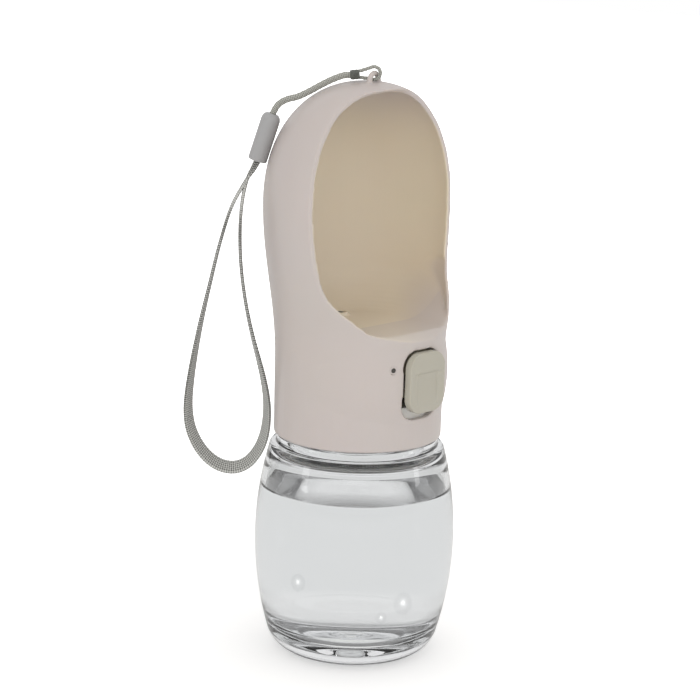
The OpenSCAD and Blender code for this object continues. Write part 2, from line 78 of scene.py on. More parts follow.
STRAP_ROUTE = [
    (39.4, 188.8), (40.5, 185), (42.4, 181.6), (45.2, 177.5), (50.4, 167.5), (54.4, 154),
    (57.8, 139), (60.8, 125), (63.3, 111), (64.9, 99), (65.2, 91), (64.1, 84), (61.2, 77.6),
    (57.2, 72.8), (52.6, 70), (47.6, 69.4), (43.2, 71.2), (39.8, 75), (37.5, 79.8), (36.3, 85),
    (35.9, 91), (36.3, 97), (37.6, 104), (39.4, 111), (41.6, 119), (43.5, 127), (45.2, 136),
    (46.4, 145), (47, 154), (47, 163), (46.3, 171), (44.8, 178), (43, 182.2), (41.9, 184.8),
    (40.7, 188.4),
]

# Finish of the cords (mm): radius of the round cord, its strands each way and how fast they
# cross, width of the strap at its ends and what it gains between them, half its thickness and how
# far it turns as it hangs, and radius of the thin loop's cord
CORD_R, STRANDS, PLAIT = 1.2, 6, 1.55
STRAP_END_W, STRAP_SPREAD, STRAP_HALF_T, STRAP_TURN = 3.8, 2.2, 0.62, math.radians(34)
LOOP_CORD_R = 0.64

# Bottle, as in the CAD source (mm)
SIDE_R, WAIST_R, WAIST_Z = 130.0, 37.5, 44.0
SHOULDER_Z, RING_Z, NECK_TOP = 80.4, 83.4, 95.2
WALL, BASE_T, BASE_ROUND, INNER_ROUND = 2.2, 8.5, 11.0, 14.0
NECK_R, MOUTH_R, RING_R = 26.7, 24.2, 30.2
SIDE_X = WAIST_R - SIDE_R
THREAD_Z, THREAD_LEAD, THREAD_TURNS, THREAD_STEPS = 85.0, 6.0, 1.5, 180
THREAD_SECTION = ((-0.15, -0.7), (0.28, -0.22), (0.28, 0.22), (-0.15, 0.7))

# Trough and button, as in the CAD source (mm)
TROUGH_R, DOME_Z, DOME_H, DOME_POWER, TROUGH_WALL = 36.9, 170.0, 44.5, 2.15, 1.9
SKIRT_R, SKIRT_TOP, SWELL_H, FLOOR_Z = 31.4, 112.0, 58.0, 126.6
BOWL_R, FLOOR_ROUND, OUTLET_Y = 33.07, 20.0, 10.8

# Trough and button in this script only: wall kept at the mouth's sides, widening of the front,
# place of the lock mark (turn, height, distance from the axis), and sizes of the remeshing (m)
KEPT_WALL, WIDER = 1.3, 0.044
MARK_TURN, MARK_Z, MARK_OUT = math.radians(-24.5), 114.8, 32.95
TROUGH_VOXEL, QUICK_VOXEL, BUTTON_VOXEL, BEAD_VOXEL = 0.00045, 0.0007, 0.00025, 0.00022

# Lamps (place and size in m, power in W, colour)
LAMPS = {
    "Key": ((-0.66, -0.68, 0.50), (0.45, 0.5), 1.35, (1, 0.985, 0.96)),
    "Right": ((0.15, -0.95, 0.45), (0.4, 0.5), 0.75, (1, 1, 1)),
    "Side": ((-0.9, -0.3, 0.45), (0.4, 0.5), 0.85, (1, 1, 1)),
    "Top": ((0.1, 0.1, 1.0), (0.6, 0.6), 0.8, (1, 1, 1)),
}
LAMP_AIM = (0, 0, 0.12)

# Lamps and floor cards that mirror as spots of light in the clear plastic (place, size in m)
SPARKS = [((-0.80, 0.30, 0.16), 0.14), ((0.52, -0.78, 0.16), 0.12)]
SPARK_POWER = 0.12
CARDS = [((-0.101, 0.0226), 0.016), ((0.0059, -0.0776), 0.014), ((-0.0208, -0.0604), 0.006)]
CARD_GLOW, CARD_FALL, CARD_SIDES, CARD_Z = 14.0, 5.0, 32, 0.0002

# Greys (position, red, green, blue) that mirror and clear rays see along an axis of the studio,
# and the painted shadow and light that clear rays see on the floor, by ten times the distance
# from its centre in m
STUDIO_AXIS = (0.7053, 0.6693, -0.2334)
STUDIO_GREYS = [(0, 0.75, 0.75, 0.75)]
STUDIO_GREYS += [(at, v, v, v * 1.01) for at, v in
                 ((0.22, 0.76), (0.40, 0.70), (0.58, 0.60), (0.72, 0.66), (0.84, 0.79))]
STUDIO_GREYS += [(1, 0.78, 0.78, 0.79)]
FLOOR_PAINTED_SHADE = [(0, 0.82, 0.83, 0.78)]
FLOOR_PAINTED_SHADE += [(at, v, v, v) for at, v in
                ((0.148, 0.82), (0.160, 0.24), (0.34, 0.27), (0.46, 0.78), (0.8, 0.78))]
FLOOR_PAINTED_SHADE += [(1, 0.71, 0.715, 0.715)]
FLOOR_GLOW = (("From Min", 0.10), ("From Max", 0.45), ("To Min", 0.24), ("To Max", 1.0))
GROUND_HALF, GROUND_Z = 3.0, -1e-5

# Camera, as fitted to the photograph (m, degrees, mm, and pixels of a picture 700 wide)
CAMERA_AT, CAMERA_LOOK, CAMERA_ROLL = (-0.56426, -0.53547, 0.29376), (0, 0, 0.107), 1.75
LENS, SENSOR, PICTURE_W, SHIFT = 110.75, 36, 700, (-9, 21)

# Edge of the mouth seen from the side (mm: y, z), from the lip to the hood
MOUTH_EDGE = [
    (-60, 122.3), (-40, 122.3), (-36.5, 122.4), (-34, 123), (-31.6, 124.2), (-29.4, 125.6),
    (-28, 126.3), (-24.8, 128.4), (-21.6, 131.1), (-18.4, 134.3), (-14.9, 138.4), (-13, 141.6),
    (-11.7, 145.5), (-10.6, 151), (-10, 158), (-9.5, 166), (-9.3, 174), (-8.9, 182.3),
    (-8.5, 190.8), (-8.2, 197.6), (-8, 202.9), (-8.2, 206.9), (-8.8, 209.5), (-10, 211.1),
    (-12.6, 212.5), (-17, 214.5), (-24, 217),
]


# ---- node trees ----

def material(name):
    found = bpy.data.materials.get(name)
    if found:
        return found, None
    made = bpy.data.materials.new(name)
    made.use_nodes = True
    made.node_tree.nodes.clear()
    return made, made.node_tree


class Tree:
    """Short names for the making of a node tree."""

    def __init__(self, tree):
        self.t = tree

    def add(self, kind, at=(0, 0), **values):
        node = self.t.nodes.new(kind)
        node.location = at
        for key, value in values.items():
            setattr(node, key, value)
        return node

    def link(self, out, into):
        self.t.links.new(out, into)

    def math(self, op, a, b=None, at=(0, 0)):
        node = self.add("ShaderNodeMath", at, operation=op)
        for i, v in enumerate((a, b)):
            if v is None:
                continue
            if isinstance(v, (int, float)):
                node.inputs[i].default_value = v
            else:
                self.link(v, node.inputs[i])
        return node.outputs[0]


def new_group(name, inputs, outputs):
    group = bpy.data.node_groups.get(name)
    if group:
        return group, None
    group = bpy.data.node_groups.new(name, "ShaderNodeTree")
    for label, kind, value in inputs:
        s = group.interface.new_socket(label, in_out="INPUT", socket_type=kind)
        if value is not None:
            s.default_value = value
    for label, kind in outputs:
        group.interface.new_socket(label, in_out="OUTPUT", socket_type=kind)
    return group, Tree(group)


def moulded_group():
    """Fine satin grain of a moulded plastic: a tint, a roughness and a normal."""
    group, t = new_group(
        "Moulded surface",
        [("Color", "NodeSocketColor", (0.6, 0.6, 0.6, 1)), ("Grain", "NodeSocketFloat", 0.1),
         ("Roughness", "NodeSocketFloat", 0.4)],
        [("Color", "NodeSocketColor"), ("Roughness", "NodeSocketFloat"),
         ("Normal", "NodeSocketVector")])
    if t is None:
        return group
    gin = t.add("NodeGroupInput", (-900, 0))
    gout = t.add("NodeGroupOutput", (500, 0))
    pos = t.add("ShaderNodeTexCoord", (-900, -300))
    cloud = t.add("ShaderNodeTexNoise", (-650, 200))
    cloud.inputs["Scale"].default_value = 18
    cloud.inputs["Detail"].default_value = 3
    fine = t.add("ShaderNodeTexNoise", (-650, -250))
    fine.inputs["Scale"].default_value = 2600
    fine.inputs["Detail"].default_value = 2
    for n in (cloud, fine):
        t.link(pos.outputs["Object"], n.inputs["Vector"])
    tint = t.add("ShaderNodeMix", (-200, 200), data_type="RGBA", blend_type="MULTIPLY")
    tint.inputs[0].default_value = 0.05
    t.link(gin.outputs["Color"], tint.inputs[6])
    t.link(cloud.outputs["Color"], tint.inputs[7])
    t.link(tint.outputs[2], gout.inputs["Color"])
    spread = t.math("SUBTRACT", cloud.outputs[0], 0.5, (-450, 0))
    spread = t.math("MULTIPLY", spread, 0.12, (-300, 0))
    t.link(t.math("ADD", gin.outputs["Roughness"], spread, (-100, 0)), gout.inputs["Roughness"])
    bump = t.add("ShaderNodeBump", (200, -250))
    bump.inputs["Distance"].default_value = 0.00004
    t.link(gin.outputs["Grain"], bump.inputs["Strength"])
    t.link(fine.outputs[0], bump.inputs["Height"])
    t.link(bump.outputs[0], gout.inputs["Normal"])
    return group


def moulded(name, color, rough=0.4, grain=0.15, subsurface=0.0, radius=(0.002, 0.0015, 0.001),
            inside=None):
    made, tree = material(name)
    if tree is None:
        return made
    t = Tree(tree)
    group = t.add("ShaderNodeGroup", (-300, 0))
    group.node_tree = moulded_group()
    group.inputs["Color"].default_value = (*color, 1)
    group.inputs["Roughness"].default_value = rough
    group.inputs["Grain"].default_value = grain
    shader = t.add("ShaderNodeBsdfPrincipled", (0, 0))
    out = t.add("ShaderNodeOutputMaterial", (300, 0))
    # painted light: where the piece's inside attribute is high, the colour turns to a lighter,
    # warmer tint that stands in for light bounced inside a hollow
    if inside:
        where = t.add("ShaderNodeAttribute", (-700, 200), attribute_name="inside")
        painted_light_tone = t.add("ShaderNodeMix", (-500, 200), data_type="RGBA")
        painted_light_tone.inputs[6].default_value = (*color, 1)
        painted_light_tone.inputs[7].default_value = (*inside, 1)
        t.link(where.outputs["Fac"], painted_light_tone.inputs[0])
        t.link(painted_light_tone.outputs[2], group.inputs["Color"])
    t.link(group.outputs["Color"], shader.inputs["Base Color"])
    t.link(group.outputs["Roughness"], shader.inputs["Roughness"])
    t.link(group.outputs["Normal"], shader.inputs["Normal"])
    shader.inputs["IOR"].default_value = 1.49
    if subsurface:
        shader.inputs["Subsurface Weight"].default_value = subsurface
        shader.inputs["Subsurface Radius"].default_value = radius
        shader.inputs["Subsurface Scale"].default_value = 1.0
    t.link(shader.outputs[0], out.inputs["Surface"])
    return made


def clear(name, color, ior, rough=0.0):
    made, tree = material(name)
    if tree is None:
        return made
    t = Tree(tree)
    shader = t.add("ShaderNodeBsdfPrincipled", (0, 0))
    shader.inputs["Base Color"].default_value = (*color, 1)
    shader.inputs["Transmission Weight"].default_value = 1
    shader.inputs["IOR"].default_value = ior
    wave = t.add("ShaderNodeTexNoise", (-600, -200))
    wave.inputs["Scale"].default_value = 30
    pos = t.add("ShaderNodeTexCoord", (-800, -200))
    t.link(pos.outputs["Object"], wave.inputs["Vector"])
    soft = t.math("MULTIPLY", wave.outputs[0], 0.02, (-400, -200))
    t.link(t.math("ADD", soft, rough, (-200, -200)), shader.inputs["Roughness"])
    # shadow rays pass, so that daylight reaches what stands behind the clear wall
    path = t.add("ShaderNodeLightPath", (0, 400))
    open_way = t.add("ShaderNodeBsdfTransparent", (0, 200))
    pick = t.add("ShaderNodeMixShader", (300, 0))
    t.link(path.outputs["Is Shadow Ray"], pick.inputs[0])
    t.link(shader.outputs[0], pick.inputs[1])
    t.link(open_way.outputs[0], pick.inputs[2])
    out = t.add("ShaderNodeOutputMaterial", (500, 0))
    t.link(pick.outputs[0], out.inputs["Surface"])
    return made


def metal(name, color, rough=0.25):
    made, tree = material(name)
    if tree is None:
        return made
    t = Tree(tree)
    shader = t.add("ShaderNodeBsdfPrincipled", (0, 0))
    shader.inputs["Metallic"].default_value = 1
    shader.inputs["Base Color"].default_value = (*color, 1)
    drawn = t.add("ShaderNodeTexNoise", (-500, 0))
    drawn.inputs["Scale"].default_value = 900
    t.link(t.math("ADD", t.math("MULTIPLY", drawn.outputs[0], 0.12, (-300, 0)), rough - 0.06,
                  (-150, 0)), shader.inputs["Roughness"])
    out = t.add("ShaderNodeOutputMaterial", (300, 0))
    t.link(shader.outputs[0], out.inputs["Surface"])
    return made


def yarn_group():
    """Fibres of a yarn: a tint between two colours and a normal."""
    group, t = new_group(
        "Yarn fibres",
        [("Light", "NodeSocketColor", (0.5, 0.5, 0.5, 1)),
         ("Dark", "NodeSocketColor", (0, 0, 0, 1)),
         ("Mask", "NodeSocketFloat", 1.0), ("Scale", "NodeSocketFloat", 1400)],
        [("Color", "NodeSocketColor"), ("Normal", "NodeSocketVector")])
    if t is None:
        return group
    gin = t.add("NodeGroupInput", (-1100, 0))
    gout = t.add("NodeGroupOutput", (300, 0))
    pos = t.add("ShaderNodeTexCoord", (-900, -200))
    fibre = t.add("ShaderNodeTexNoise", (-700, -200))
    fibre.inputs["Detail"].default_value = 4
    t.link(pos.outputs["Object"], fibre.inputs["Vector"])
    t.link(gin.outputs["Scale"], fibre.inputs["Scale"])
    spread = t.math("SUBTRACT", fibre.outputs[0], 0.5, (-500, -200))
    spread = t.math("MULTIPLY", spread, 0.9, (-350, -200))
    share = t.math("ADD", gin.outputs["Mask"], spread, (-200, 0))
    mix = t.add("ShaderNodeMix", (0, 100), data_type="RGBA", clamp_factor=True)
    t.link(share, mix.inputs[0])
    t.link(gin.outputs["Dark"], mix.inputs[6])
    t.link(gin.outputs["Light"], mix.inputs[7])
    t.link(mix.outputs[2], gout.inputs["Color"])
    bump = t.add("ShaderNodeBump", (0, -200))
    bump.inputs["Distance"].default_value = 0.0001
    bump.inputs["Strength"].default_value = 0.5
    t.link(share, bump.inputs["Height"])
    t.link(bump.outputs[0], gout.inputs["Normal"])
    return group


def fabric(name, light, dark, scale, pitch=None, around=0):
    """Yarn, plain or braided: two slanting runs of yarn, pitch mm apart, cross each other."""
    made, tree = material(name)
    if tree is None:
        return made
    t = Tree(tree)
    group = t.add("ShaderNodeGroup", (-300, 0))
    group.node_tree = yarn_group()
    group.inputs["Light"].default_value = (*light, 1)
    group.inputs["Dark"].default_value = (*dark, 1)
    group.inputs["Mask"].default_value = 0.6
    group.inputs["Scale"].default_value = scale
    if pitch:
        weave = t.add("ShaderNodeAttribute", (-1500, 100), attribute_name="weave")
        parts = t.add("ShaderNodeSeparateXYZ", (-1300, 100))
        t.link(weave.outputs["Vector"], parts.inputs[0])
        turn = 2 * math.pi / pitch
        along = t.math("MULTIPLY", parts.outputs["X"], turn, (-1100, 200))
        if around:
            across = t.math("MULTIPLY", parts.outputs["Z"], 2 * math.pi * around, (-1100, 0))
        else:
            across = t.math("MULTIPLY", parts.outputs["Y"], turn, (-1100, 0))
        one = t.math("SINE", t.math("ADD", along, across, (-950, 200)), None, (-800, 200))
        two = t.math("SINE", t.math("SUBTRACT", along, across, (-950, 0)), None, (-800, 0))
        both = t.math("MULTIPLY", one, two, (-650, 100))
        t.link(t.math("ADD", t.math("MULTIPLY", both, 0.75, (-550, 100)), 0.55, (-430, 100)),
               group.inputs["Mask"])
    shader = t.add("ShaderNodeBsdfPrincipled", (0, 0))
    t.link(group.outputs["Color"], shader.inputs["Base Color"])
    t.link(group.outputs["Normal"], shader.inputs["Normal"])
    shader.inputs["Roughness"].default_value = 0.8
    shader.inputs["Sheen Weight"].default_value = 0.2
    out = t.add("ShaderNodeOutputMaterial", (300, 0))
    t.link(shader.outputs[0], out.inputs["Surface"])
    return made


# ---- meshes ----

def circle(n):
    """Angles at even steps round a circle."""
    return [2 * math.pi * k / n for k in range(n)]


def mesh_object(name, points, faces, mat, smooth=True):
    mesh = bpy.data.meshes.new(name)
    mesh.from_pydata([tuple(p) for p in points], [], faces)
    mesh.validate()
    mesh.shade_smooth() if smooth else mesh.shade_flat()
    made = bpy.data.objects.new(name, mesh)
    bpy.context.scene.collection.objects.link(made)
    if mat:
        mesh.materials.append(mat)
    return made


def lathe(name, outline, mat, around=160):
    """A closed solid turned about Z. The outline runs from the axis to the axis (mm)."""
    rings, points = [], []
    for r, z in outline:
        if r < 1e-6:
            rings.append([len(points)] * around)
            points.append((0, 0, z * MM))
        else:
            rings.append(list(range(len(points), len(points) + around)))
            points += [(r * MM * math.cos(a), r * MM * math.sin(a), z * MM)
                       for a in circle(around)]
    faces = []
    for a, b in zip(rings, rings[1:]):
        for k in range(around):
            n = (k + 1) % around
            quad = [a[k], a[n], b[n], b[k]]
            face = [v for i, v in enumerate(quad) if v != quad[i - 1]]
            if len(face) > 2:
                faces.append(face)
    return mesh_object(name, points, faces, mat)


def smooth_path(points, step):
    """Catmull-Rom curve through the points, at even steps."""
    p = np.array(points, float)
    p = np.vstack([2 * p[0] - p[1], p, 2 * p[-1] - p[-2]])
    out = []
    for i in range(1, len(p) - 2):
        for t in np.linspace(0, 1, 24, endpoint=False):
            a, b, c, d = p[i - 1], p[i], p[i + 1], p[i + 2]
            out.append(0.5 * (2 * b + (c - a) * t + (2 * a - 5 * b + 4 * c - d) * t * t
                              + (3 * b - a - 3 * c + d) * t ** 3))
    out.append(p[-2])
    out = np.array(out)
    far = np.concatenate([[0], np.cumsum(np.linalg.norm(np.diff(out, axis=0), axis=1))])
    n = max(2, int(far[-1] / step))
    at = np.linspace(0, far[-1], n + 1)
    return np.stack([np.interp(at, far, out[:, k]) for k in range(out.shape[1])], 1), at


def in_plane(flat):
    """Points of the strap's plane (mm: outwards, up) as points of the frame, in mm."""
    flat = np.asarray(flat, float)
    return PLANE_FROM + flat[:, :1] * PLANE_OUT + flat[:, 1:2] * np.array([0, 0, 1.0])


def sweep(name, path, section, mat):
    """A closed tube: section(i) gives offsets (side, up) in mm at each point of the path."""
    path = np.asarray(path, float)
    tangent = np.gradient(path, axis=0)
    tangent /= np.linalg.norm(tangent, axis=1)[:, None]
    side = np.tile(PLANE_SIDE, (len(path), 1))
    up = np.cross(tangent, side)
    points, rings, weave = [], [], []
    run = np.concatenate([[0], np.cumsum(np.linalg.norm(np.diff(path, axis=0), axis=1))])
    for i in range(len(path)):
        offsets = section(i)
        rings.append(range(len(points), len(points) + len(offsets)))
        for k, (a, b) in enumerate(offsets):
            points.append((path[i] + a * side[i] + b * up[i]) * MM)
            weave.append((run[i], a, k / len(offsets)))
    n = len(rings[0])
    faces = [[rings[i][k], rings[i][(k + 1) % n], rings[i + 1][(k + 1) % n], rings[i + 1][k]]
             for i in range(len(rings) - 1) for k in range(n)]
    faces.append(list(rings[0])[::-1])
    faces.append(list(rings[-1]))
    made = mesh_object(name, points, faces, mat)
    lay = made.data.attributes.new("weave", "FLOAT_VECTOR", "POINT")
    lay.data.foreach_set("vector", np.array(weave, "f").ravel())
    return made


# ---- bottle ----

def corner(r, z, wall, steps=16):
    cx = SIDE_X + math.sqrt((SIDE_R - wall - r) ** 2 - (WAIST_Z - z - r) ** 2)
    end = math.atan2(z + r - WAIST_Z, cx - SIDE_X)
    angles = np.linspace(-math.pi / 2, end, steps)
    return [(cx + r * math.cos(a), z + r + r * math.sin(a)) for a in angles]


def side_at(z, wall=0.0):
    return SIDE_X + math.sqrt((SIDE_R - wall) ** 2 - (z - WAIST_Z) ** 2)


def inner_outline(grow=0.0):
    lower = corner(INNER_ROUND + grow, BASE_T - grow, WALL - grow)
    top = SHOULDER_Z - WALL - 7
    rise = [(side_at(z, WALL - grow), z) for z in np.linspace(lower[-1][1], top, 40)[1:]]
    dr = side_at(top, WALL) - MOUTH_R
    throat = [(MOUTH_R + grow + dr * math.cos(a), top + 7 * math.sin(a))
              for a in np.linspace(0, math.pi / 2, 14)[1:]]
    return lower, rise, throat


def make_bottle(settings):
    glass = clear("Clear plastic", (0.985, 0.99, 0.99), 1.53)
    water = clear("Water", (0.99, 0.995, 1.0), 1.333)
    pip = [(0, 3.9), (1.9, 3.9), (2.17, 3.75), (2.17, 3.3), (2.4, 3.1), (4.9, 3.1), (5.2, 3.3),
           (5.2, 4.4), (5.4, 4.6), (7.5, 4.45), (9.5, 3.95), (11.5, 3.1), (13.2, 1.9),
           (14.4, 0.8), (15.0, 0.2), (15.2, 0)]
    base = corner(BASE_ROUND, 0, 0, 22)
    side = [(side_at(z), z) for z in np.linspace(base[-1][1], SHOULDER_Z - 1.2, 48)[1:]]
    top = [(side_at(SHOULDER_Z) - 0.3, SHOULDER_Z - 0.35), (side_at(SHOULDER_Z) - 1, SHOULDER_Z),
           (RING_R + 0.3, SHOULDER_Z), (RING_R, SHOULDER_Z + 0.3), (RING_R, RING_Z - 0.4),
           (RING_R - 0.12, RING_Z - 0.12), (RING_R - 0.4, RING_Z), (NECK_R + 0.1, RING_Z),
           (NECK_R, RING_Z + 0.1), (NECK_R, NECK_TOP - 0.5), (NECK_R - 0.15, NECK_TOP - 0.15),
           (NECK_R - 0.5, NECK_TOP), (MOUTH_R + 0.4, NECK_TOP), (MOUTH_R, NECK_TOP - 0.4)]
    lower, rise, throat = inner_outline()
    inside = [(MOUTH_R, SHOULDER_Z + 2)] + throat[::-1] + rise[::-1] + lower[::-1] + [(0, BASE_T)]
    bottle = lathe("bottle_clear", pip + base + side + top + inside, glass, 192)
    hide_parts("bottle")
    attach(bottle, "bottle")

    # thread of the neck: one rib of one and a half turns, with run-outs
    points, faces = [], []
    for k in range(THREAD_STEPS + 1):
        u = k / THREAD_STEPS
        a = 2 * math.pi * THREAD_TURNS * u
        z = THREAD_Z + THREAD_LEAD * THREAD_TURNS * u
        fade = min(1, 9 * u, 9 * (1 - u))
        for dr, dz in THREAD_SECTION:
            r = NECK_R + dr * (fade if dr > 0 else 1)
            points.append((r * MM * math.cos(a), r * MM * math.sin(a), (z + dz * fade) * MM))
    for k in range(THREAD_STEPS):
        for j in range(4):
            a, b = 4 * k + j, 4 * k + (j + 1) % 4
            faces.append([a, b, b + 4, a + 4])
    thread = mesh_object("neck_thread", points, faces, glass)
    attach(thread, "bottle")

    # the water reaches a little into the wall, so that light crosses one surface there
    grow = 0.06
    lower, rise, throat = inner_outline(grow)
    level = settings.water_level * 1000
    body = [p for p in lower + rise if p[1] < level - 0.7]
    edge = side_at(level, WALL - grow)
    meniscus = [(edge, level + 0.5), (edge - 0.35, level + 0.25), (edge - 1.0, level + 0.05),
                (edge - 2.0, level), (0, level)]
    fill = lathe("water_fill", [(0, BASE_T - grow)] + body + meniscus, water, 192)
    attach(fill, "bottle")


# ---- trough and button ----

def soften(node, voxel, rounds):
    """Rounds every edge of a CAD node's own mesh by modifiers alone."""
    obj = NODES[node]
    weld = obj.modifiers.new("Weld", "WELD")
    weld.merge_threshold = 1e-6
    remesh = obj.modifiers.new("Remesh", "REMESH")
    remesh.mode = "VOXEL"
    remesh.voxel_size = voxel
    remesh.use_smooth_shade = True
    smooth = obj.modifiers.new("Soften", "SMOOTH")
    smooth.factor = 0.5
    smooth.iterations = rounds


def paint(obj, mat):
    """Gives a piece, or a CAD node by its name, one material."""
    obj = NODES[obj] if isinstance(obj, str) else obj
    obj.data.materials.clear()
    obj.data.materials.append(mat)


def copied(name, node):
    """A new piece that starts from a CAD node's mesh, which itself stays as it is."""
    source = NODES[node]
    made = bpy.data.objects.new(name, source.data.copy())
    made.matrix_world = source.matrix_world.copy()
    bpy.context.scene.collection.objects.link(made)
    return made


def applied(obj):
    """Replaces the piece's mesh with what its modifiers make of it."""
    bpy.context.view_layer.update()
    graph = bpy.context.evaluated_depsgraph_get()
    mesh = bpy.data.meshes.new_from_object(obj.evaluated_get(graph))
    obj.modifiers.clear()
    obj.data = mesh
    return obj


def dropped(obj):
    bpy.data.objects.remove(obj, do_unlink=True)


def carve(obj, tool):
    cut = obj.modifiers.new("Carve", "BOOLEAN")
    cut.operation = "DIFFERENCE"
    cut.solver = "EXACT"
    cut.object = tool
    return applied(obj)


def joined(obj, other):
    """Adds the other piece's mesh to the first."""
    made = bmesh.new()
    made.from_mesh(obj.data)
    made.from_mesh(other.data)
    made.to_mesh(obj.data)
    made.free()
    dropped(other)
    return obj


def rounded(obj, voxel, rounds):
    for kind, values in (("WELD", {"merge_threshold": 1e-6}),
                         ("REMESH", {"mode": "VOXEL", "voxel_size": voxel}),
                         ("SMOOTH", {"factor": 0.5, "iterations": rounds})):
        mod = obj.modifiers.new(kind.title(), kind)
        for key, value in values.items():
            setattr(mod, key, value)
    return applied(obj)


def soften_where(obj, weights, rounds):
    """More rounds of smoothing where the weights are high."""
    group = obj.vertex_groups.new(name="soft")
    for level in np.linspace(0.1, 1, 10):
        chosen = np.nonzero(np.abs(weights - level) <= 0.05)[0]
        group.add([int(v) for v in chosen], float(level), "REPLACE")
    smooth = obj.modifiers.new("Blend", "SMOOTH")
    smooth.factor = 0.5
    smooth.iterations = rounds
    smooth.vertex_group = group.name
    return applied(obj)


def vertices(obj):
    flat = np.empty(len(obj.data.vertices) * 3)
    obj.data.vertices.foreach_get("co", flat)
    return flat.reshape(-1, 3) / MM


def move_vertices(obj, at):
    obj.data.vertices.foreach_set("co", (at * MM).ravel())
    obj.data.update()


def step_up(v, low, high):
    t = np.clip((v - low) / (high - low), 0, 1)
    return t * t * (3 - 2 * t)


def side_radius(z):
    """Outer radius of the trough below its dome."""
    swell = np.clip((z - SKIRT_TOP) / SWELL_H, 0, 1)
    return SKIRT_R + (TROUGH_R - SKIRT_R) * (1 - np.cos(math.pi * swell)) / 2


def dome_at(up, wall):
    """Radius of the dome at a share of its height, for the outer or the inner face."""
    return (TROUGH_R - wall) * max(0.0, 1 - up ** DOME_POWER) ** (1 / DOME_POWER)


def facing_out(obj):
    made = bmesh.new()
    made.from_mesh(obj.data)
    bmesh.ops.recalc_face_normals(made, faces=made.faces)
    made.to_mesh(obj.data)
    made.free()
    return obj


def mouth_tool():
    """What is cut away at the mouth: its side view, drawn out across the trough."""
    edge = smooth_path(MOUTH_EDGE, 0.5)[0]
    side = [tuple(p) for p in edge] + [(-60, 217)]
    n = len(side)
    points = [(x * MM, y * MM, z * MM) for x in (-50, 50) for y, z in side]
    faces = [[k, (k + 1) % n, n + (k + 1) % n, n + k] for k in range(n)]
    faces += [list(range(n))[::-1], list(range(n, 2 * n))]
    return facing_out(mesh_object("mouth_tool", points, faces, None))


def channel_tool():
    """The bowl's own section carried forward, so that its floor runs out over the lip."""
    stations = [-60, -34, -27, -24, -21, -18, -16, -14, -12, -10, -8, -6, -4, -2, 0]
    bends = np.linspace(0, math.pi / 2, 19)
    points = []
    for y in stations:
        half = []
        for a in bends:
            z = FLOOR_Z + FLOOR_ROUND * (1 - math.cos(a))
            x = BOWL_R - FLOOR_ROUND * (1 - math.sin(a))
            if y > -26:
                kept = KEPT_WALL * step_up(z, 128, 132)
                x = min(x, math.sqrt((side_radius(z) - kept) ** 2 - y * y))
            half.append((x, z))
        ring = half + [(half[-1][0] - 2, 156)]
        points += [(x * MM, y * MM, z * MM) for x, z in ring]
        points += [(-x * MM, y * MM, z * MM) for x, z in ring[::-1]]
    n = 2 * (len(bends) + 1)
    faces = [[j * n + k, j * n + (k + 1) % n, (j + 1) * n + (k + 1) % n, (j + 1) * n + k]
             for j in range(len(stations) - 1) for k in range(n)]
    faces += [list(range(n))[::-1], list(range((len(stations) - 1) * n, len(stations) * n))]
    return facing_out(mesh_object("channel_tool", points, faces, None))


def hood():
    """A shell as the node's, to the mouth's edge where that lies further forward."""
    rise = np.linspace(0.02, math.pi / 2, 46)
    side = [(float(side_radius(z)), z) for z in np.linspace(128, DOME_Z, 22)]
    outer = side + [(dome_at(math.sin(a), 0), DOME_Z + DOME_H * math.sin(a)) for a in rise]
    inner = [(r - TROUGH_WALL, z) for r, z in side]
    inner += [(dome_at(math.sin(a), TROUGH_WALL), DOME_Z + (DOME_H - TROUGH_WALL) * math.sin(a))
              for a in rise]
    outer[-1], inner[-1] = (0, outer[-1][1]), (0, inner[-1][1])
    return lathe("hood", inner[::-1] + outer, None, 144)


def painted_bowl_light_share(trough, at):
    """How much of the painted bowl light each point of the trough takes, from 0 to 1: a lighter,
    warmer tint that stands in for light bounced inside the bowl.
    """
    wall = side_radius(at[:, 2])
    up = np.clip((at[:, 2] - DOME_Z) / (DOME_H - TROUGH_WALL), 0, 1)
    wall = wall * (1 - up ** DOME_POWER) ** (1 / DOME_POWER)
    bowl = ((1 - step_up(np.hypot(at[:, 0], at[:, 1]) - wall, -TROUGH_WALL, -0.7))
            * step_up(at[:, 2], FLOOR_Z - 1.4, FLOOR_Z - 0.4))
    facing = np.empty(at.size)
    trough.data.vertices.foreach_get("normal", facing)
    # painted light too on the upward-facing land of the lip, at a lower share
    land = (step_up(facing.reshape(-1, 3)[:, 2], 0.3, 0.65) * step_up(-at[:, 1], 10, 12)
            * step_up(at[:, 2], 121.5, 122.5) * (1 - step_up(at[:, 2], 138, 146)))
    # painted light: low in the bowl the painted tint fades towards the side that lies on the
    # right as the camera sees it, for the way light falls there
    fade = (1 - 0.8 * step_up(0.688 * at[:, 0] - 0.725 * at[:, 1], 10, 27)
            * (1 - step_up(at[:, 2], 128, 146)))
    return np.maximum(bowl * (1 - land), 0.45 * land) * fade


def outlet_collar():
    """The low ring round the outlet in the bowl's floor."""
    collar = lathe("collar", [(0, FLOOR_Z - 1), (3.3, FLOOR_Z - 1), (3.3, FLOOR_Z + 1.2),
                              (3.0, FLOOR_Z + 1.6), (2.5, FLOOR_Z + 1.6), (2.2, FLOOR_Z + 1.3),
                              (2.2, FLOOR_Z - 0.6), (0, FLOOR_Z - 0.6)], None, 48)
    collar.data.transform(Matrix.Translation((0, OUTLET_Y * MM, 0)))
    return collar


